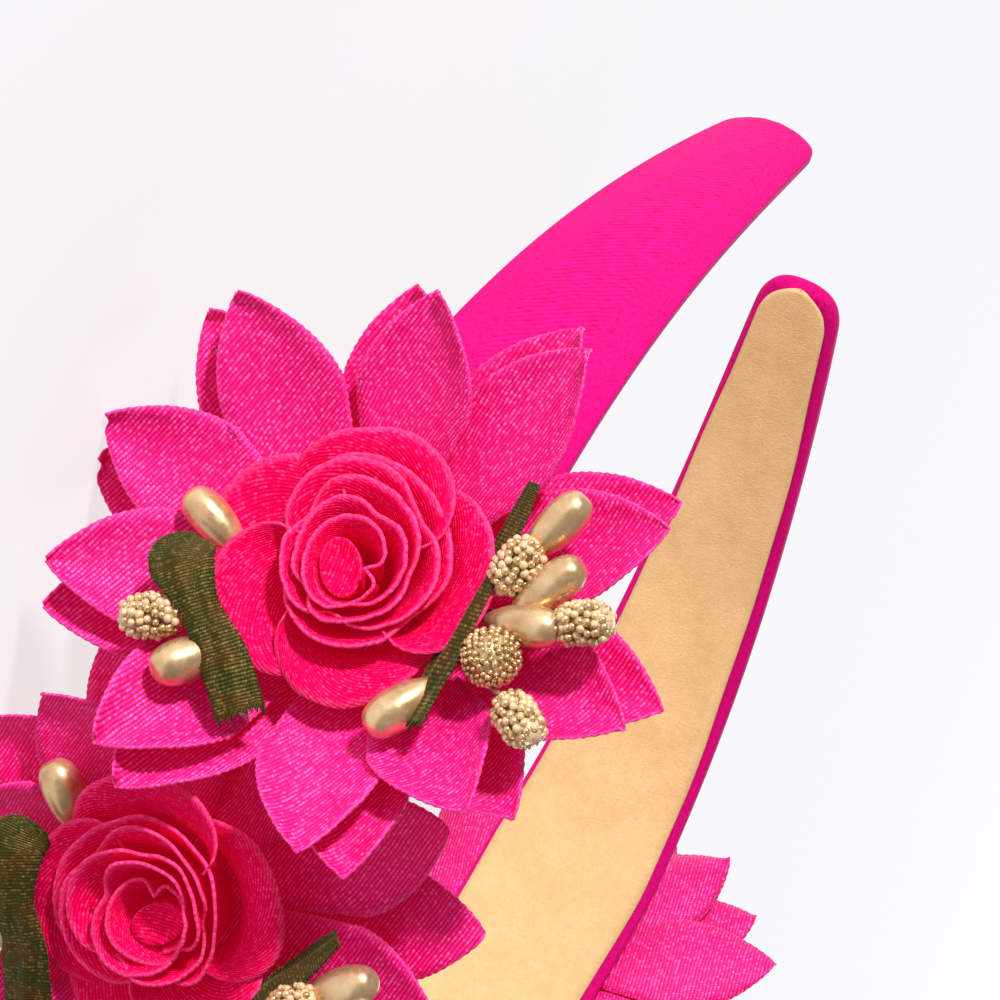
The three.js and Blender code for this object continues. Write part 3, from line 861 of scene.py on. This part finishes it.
# Leaves: green ribbon through the rows of a table, in shares of the flower's radius
leafCut = {"width": 6.0, "wall": 0.24, "columns": 18, "steps": 60, "fray": 1.3, "frayFrom": 0.975,
           "roundedTo": 0.16, "flat": (6, 32)}
rightLeafRows = table(
    "along across raised width stand",
    (-0.5, 0.43, 1.3, 0.35, 40), (-0.36, 0.435, 1.3, 0.6, 42), (-0.12, 0.43, 1.4, 0.8, 46),
    (0.12, 0.44, 1.2, 0.95, 46), (0.36, 0.455, 0.8, 0.8, 50),
)
leftLeafRows = table(
    "along across raised width stand",
    (0.14, -0.50, 1.4, 1.0, -20), (0.235, -0.465, 1.8, 1.2, -15), (0.345, -0.33, 2.1, 0.72, -15),
    (0.455, -0.185, 1.5, 0.9, -10), (0.58, -0.06, 0.6, 0.9, -10),
)


def overPetals(place, along, across):
    # height just clear of the upper petals' highest edge at a spot, in mm
    heading = math.degrees(math.atan2(across, along))
    long = petalReach(1, place, heading) - petalCut["notch"]
    share = (math.hypot(along, across) * petalCut["radius"] - petalCut["notch"]) / long
    top = petalLine(1, place, heading, clamp(share))[1] + petalCut["cup"]
    return top + petalCut["clearance"]


def makeLeaf(node, place, rows, rounded):
    size = leafCut
    rng = random.Random(50 + place)
    threads = [rng.uniform(0.2, 1.0) if k % 2 else -0.15 for k in range(size["columns"] + 1)]
    middles = []
    for row in rows:
        along, across = turnedBy(flowerSpots[place]["sprayTurn"], row["along"], row["across"])
        raised = (row["raised"] + row["width"] / 2) * size["width"] / 2
        middles.append(Vector((along * petalCut["radius"], across * petalCut["radius"],
                               overPetals(place, along, across) + raised)))

    def shape(side, share):
        at = share * (len(rows) - 1)
        i = min(len(rows) - 2, int(at))
        part = at - i
        soft = part * part * (3 - 2 * part)
        before, after = middles[max(0, i - 1)], middles[min(len(rows) - 1, i + 2)]
        a, b = middles[i], middles[i + 1]
        # a smooth curve through the rows
        middle = 0.5 * (2 * a + (b - before) * part
                        + (2 * before - 5 * a + 4 * b - after) * part ** 2
                        + (3 * a - before - 3 * b + after) * part ** 3)
        way = (b - a).lerp(after - b if i + 2 < len(rows) else b - a, part * 0.5).normalized()
        width, stand = (mix(rows[i][key], rows[i + 1][key], soft) for key in ("width", "stand"))
        level = Vector((0, 0, 1)).cross(way).normalized()
        across = Matrix.Rotation(math.radians(stand), 3, way) @ level
        bow = 0.5 * (1 - side * side) * width + 0.12 * math.sin(side * 7 + share * 9)
        ragged = (0.12 if round(share * size["steps"]) % 2 else -0.05) if abs(side) > 0.99 else 0.0
        if rounded and share < size["roundedTo"]:
            width *= math.sqrt(max(0.02, 1 - (1 - share / size["roundedTo"]) ** 2))
        spot = (middle + across * side * (width * size["width"] / 2 + ragged)
                + way.cross(across) * bow)
        if share > size["frayFrom"]:
            spot += way * threads[round((side + 1) / 2 * size["columns"])] * size["fray"]
        return flowerFrames[place] @ (spot * mm)

    wide, long = size["flat"]
    cloth = clothGrid(f"{node}_ribbon_{place + 1}", size["columns"], size["steps"], shape,
                      lambda side, share: (side * wide / 2, share * long))
    thicken(cloth, size["wall"], 0)
    finishPiece(cloth, f"{node}_{place + 1}", leafRibbon)


for place in flowers:
    makeLeaf("leaf_right", place, rightLeafRows, rounded=False)
    makeLeaf("leaf_left", place, leftLeafRows, rounded=True)
print("leaves made")


# Sprays: gilt buds, beaded cobs and a glitter ball on wires, with their radii and lengths in mm
pipSizes = {"bud": (2.45, 9.4), "cob": (2.45, 7.6), "ball": (3.4, 6.8)}
sprayWires = {"radius": 0.3, "lift": 2.8, "sag": 0.2, "reach": 0.35, "endAt": 7.5, "endUp": 4.6}
rightPips = table(
    "form along across heading raised",
    ("bud", -0.40, 0.56, 158, 0.5), ("bud", -0.215, 0.63, 148, 0.45),
    ("cob", -0.235, 0.51, 165, 1.0), ("cob", -0.16, 0.80, 114, 0.35),
    ("bud", -0.075, 0.615, 104, 0.6), ("ball", 0.065, 0.585, 90, 0.6),
    ("cob", 0.21, 0.775, 64, 0.4), ("bud", 0.32, 0.39, -26, 0.4),
)
leftPips = table(
    "form along across heading raised",
    ("bud", 0.05, -0.49, 250, 0.1), ("cob", 0.44, -0.475, 302, 0.8), ("bud", 0.50, -0.30, 325, 0.5),
)
# each ring of a bud is a step up and a share of the widest radius
budProfile = {"vertices": 18, "start": 0.1, "rings": [
    (0.03, 0.28), (0.07, 0.46), (0.12, 0.70), (0.15, 0.90), (0.16, 1.0), (0.16, 1.0),
    (0.12, 0.92), (0.09, 0.76), (0.05, 0.54), (0.02, 0.34), (-0.01, 0.18)]}
beads = {"segments": 8, "rings": 6, "giltShare": 0.42, "cobLevels": 9, "cobSpacing": 1.0,
         "cobShare": 0.86, "cobCore": 0.72, "stray": 0.12, "ballCount": 190, "ballCore": 0.86,
         "ballInset": 0.32, "goldenTurn": 2.39996}


def modelBud():
    # a circle drawn up ring by ring into an olive, stalk end at the bottom, 1 long and 2 wide
    radius, height = budProfile["start"], 0.0
    bpy.ops.mesh.primitive_circle_add(vertices=budProfile["vertices"], radius=radius,
                                      fill_type="NGON", location=(0, 0, 0))
    bud = bpy.context.object
    bpy.ops.object.mode_set(mode="EDIT")
    bpy.ops.mesh.select_all(action="SELECT")
    bpy.ops.mesh.flip_normals()
    for step, wide in budProfile["rings"]:
        height += step
        bpy.ops.mesh.extrude_region_move(TRANSFORM_OT_translate={"value": (0, 0, step)})
        grow = wide / radius
        bpy.ops.transform.resize(value=(grow, grow, 1), center_override=(0, 0, height))
        radius = wide
    bpy.ops.mesh.select_all(action="SELECT")
    bpy.ops.mesh.normals_make_consistent(inside=False)
    bpy.ops.object.mode_set(mode="OBJECT")
    smooth = bud.modifiers.new("smooth", "SUBSURF")
    smooth.levels = smooth.render_levels = 1
    bpy.ops.object.modifier_apply(modifier=smooth.name)
    heights = [v.co.z for v in bud.data.vertices]
    low, high = min(heights), max(heights)
    bud.data.transform(Matrix.Scale(1 / (high - low), 4, (0, 0, 1))
                       @ Matrix.Translation((0, 0, -low)))
    bud.data.materials.append(budGilt)
    bud.data.shade_smooth()
    return bud


def ownCopy(model, placed):
    # a copy with its own mesh
    copy = model.copy()
    copy.data = model.data.copy()
    bpy.context.collection.objects.link(copy)
    copy.data.transform(placed)
    return copy


def modelCluster(name, spots, materials, seed):
    # one bead modelled once and copied to every spot
    rng = random.Random(seed)
    bpy.ops.mesh.primitive_uv_sphere_add(segments=beads["segments"], ring_count=beads["rings"],
                                         radius=1)
    bead = bpy.context.object
    bead.data.shade_smooth()
    copies = []
    for centre, radius in spots:
        turn = rng.uniform(0, fullTurn)
        spun = Matrix.Rotation(turn, 4, Vector((rng.uniform(-1, 1), rng.uniform(-1, 1), 1)))
        copy = ownCopy(bead, Matrix.Translation(centre) @ spun @ Matrix.Scale(radius, 4))
        copy.data.materials.append(materials[rng.random() < beads["giltShare"]])
        copies.append(copy)
    bpy.data.objects.remove(bead)
    return joinPieces(copies, name)


def cobSpots(seed):
    # beads over a blunt cob that stands on its stalk, in mm, with three larger ones inside
    rng = random.Random(seed)
    radius, length = pipSizes["cob"]
    stray = beads["stray"]
    spots = []
    for level in range(beads["cobLevels"]):
        share = (level + 0.5) / beads["cobLevels"]
        ring = radius * (1 - abs(2 * share - 1.04) ** 3.2) ** 0.6 * beads["cobShare"]
        count = max(1, round(2 * math.pi * ring / beads["cobSpacing"]))
        for k in range(count):
            angle = 2 * math.pi * (k + 0.5 * (level % 2)) / count + rng.uniform(-stray, stray)
            out = ring + rng.uniform(-stray, stray)
            size = rng.uniform(0.42, 0.56)
            up = length * (share * 0.9 + 0.04) + rng.uniform(-0.15, 0.15)
            spots.append((Vector((out * math.cos(angle), out * math.sin(angle), up)), size))
    for share in (0.25, 0.5, 0.75):
        spots.append((Vector((0, 0, share * length)), radius * beads["cobCore"]))
    return spots


def ballSpots():
    # small beads evenly over a ball, with a core behind them
    rng = random.Random(9)
    radius, count = pipSizes["ball"][0], beads["ballCount"]
    middle = Vector((0, 0, radius))
    spots = [(middle, radius * beads["ballCore"])]
    for k in range(count):
        z = 1 - 2 * (k + 0.5) / count
        ring = math.sqrt(1 - z * z)
        angle = k * beads["goldenTurn"] + rng.uniform(-0.08, 0.08)
        out = Vector((ring * math.cos(angle), ring * math.sin(angle), z))
        spots.append((out * (radius - beads["ballInset"]) + middle, rng.uniform(0.26, 0.4)))
    return spots


pipModels = {
    "bud": [modelBud()],
    "cob": [modelCluster(f"cob{n}", cobSpots(n), [pearlBead, beadGilt], n) for n in (1, 2)],
    "ball": [modelCluster("ball", ballSpots(), [beadGilt, beadGilt], 3)],
}
print("pips modelled")


def wireBetween(start, finish):
    size = sprayWires
    bpy.ops.curve.primitive_bezier_curve_add()
    curve = bpy.context.object.data
    curve.bevel_depth = size["radius"] * mm
    curve.bevel_resolution = 1
    curve.resolution_u = 6
    curve.use_fill_caps = True
    first, last = curve.splines[0].bezier_points
    for knot, spot, other in ((first, start, finish), (last, finish, start)):
        # the handle towards the other knot sags, and the one beyond the end is straight
        knot.handle_left_type = knot.handle_right_type = "FREE"
        knot.co = spot * mm
        onward = spot.lerp(other, size["reach"])
        toward = (onward + Vector((0, 0, -size["sag"]))) * mm
        away = (spot - (onward - spot)) * mm
        knot.handle_right, knot.handle_left = (toward, away) if spot is start else (away, toward)
    bpy.ops.object.convert(target="MESH")
    wire = bpy.context.object
    wire.data.materials.clear()
    wire.data.materials.append(budGilt)
    return wire


def makeSpray(node, place, pips, shift):
    radius = petalCut["radius"]
    rng = random.Random(31 * place + len(pips))
    parts, stalks = [], []
    for pip in pips:
        form = pip["form"]
        wide, long = pipSizes[form]
        ends = []
        for end in (-0.5, 0.5):
            far = end * long / radius
            along = pip["along"] + shift + far * math.cos(math.radians(pip["heading"]))
            across = pip["across"] + far * math.sin(math.radians(pip["heading"]))
            along, across = turnedBy(flowerSpots[place]["sprayTurn"], along, across)
            up = overPetals(place, along, across) + wide + pip["raised"] * sprayWires["lift"]
            ends.append(Vector((along * radius, across * radius, up)))
        stalk, free = ends
        stalks.append(stalk)
        scale = (mm, mm, mm)
        if form == "bud":
            wide *= rng.uniform(0.94, 1.05)
            scale = (wide * mm, wide * mm, long * mm)
        model = pipModels[form][rng.randrange(len(pipModels[form]))]
        spun = (free - stalk).normalized().to_track_quat("Z", "Y").to_matrix().to_4x4()
        placed = Matrix.Translation(stalk * mm) @ spun @ Matrix.Diagonal((*scale, 1))
        parts.append(ownCopy(model, placed))
    for stalk in stalks:
        # each wire runs in under the rosette
        out = Vector((stalk.x, stalk.y, 0)).normalized() * sprayWires["endAt"]
        parts.append(wireBetween(stalk, Vector((out.x, out.y, sprayWires["endUp"]))))
    for part in parts:
        part.data.transform(flowerFrames[place])
    spray = joinPieces(parts, f"{node}_spray_{place + 1}")
    spray.data.shade_smooth()
    finishPiece(spray, f"{node}_{place + 1}")


for place in flowers:
    makeSpray("buds_right", place, rightPips, flowerSpots[place]["sprayShift"])
    makeSpray("buds_left", place, leftPips, 0)
for models in pipModels.values():
    for model in models:
        bpy.data.objects.remove(model)
print("sprays made")


# Floor and light
studio = {"floor": (0.27, 0.275, 0.285), "floorSize": 8, "floorGlow": 0.7, "world": 0.24}
lights = table(
    "name power size spot target",
    ("key", 21.5, 0.12, (1.08, -0.66, 0.31), (0.06, 0, 0.03)),
    ("fill", 5, 0.8, (-1.1, -0.5, 0.5), (0, 0, 0.03)),
    ("rear", 9, 0.7, (-0.9, 1.1, 0.45), (0, 0, 0.03)),
)


def addLight(name, power, size, spot, target):
    bpy.ops.object.light_add(type="AREA", location=spot)
    light = bpy.context.object
    light.name = name
    light.data.energy = power
    light.data.size = size
    light.visible_camera = False
    light.rotation_mode = "QUATERNION"
    light.rotation_quaternion = (Vector(spot) - Vector(target)).to_track_quat("Z", "Y")


def addStudio():
    bpy.ops.mesh.primitive_plane_add(size=studio["floorSize"])
    floor = bpy.context.object
    floor.name = "floor"
    material, _ = newFinish(
        "paleFloor", Roughness=0.9, Base_Color=(*studio["floor"], 1),
        Emission_Color=(0.99, 0.985, 1, 1), Emission_Strength=studio["floorGlow"])
    floor.data.materials.append(material)
    world = bpy.context.scene.world or bpy.data.worlds.new("studio")
    bpy.context.scene.world = world
    world.use_nodes = True
    background = world.node_tree.nodes["Background"]
    background.inputs["Color"].default_value = (1, 1, 1, 1)
    background.inputs["Strength"].default_value = studio["world"]
    for light in lights:
        addLight(**light)


addStudio()
print("studio lit")
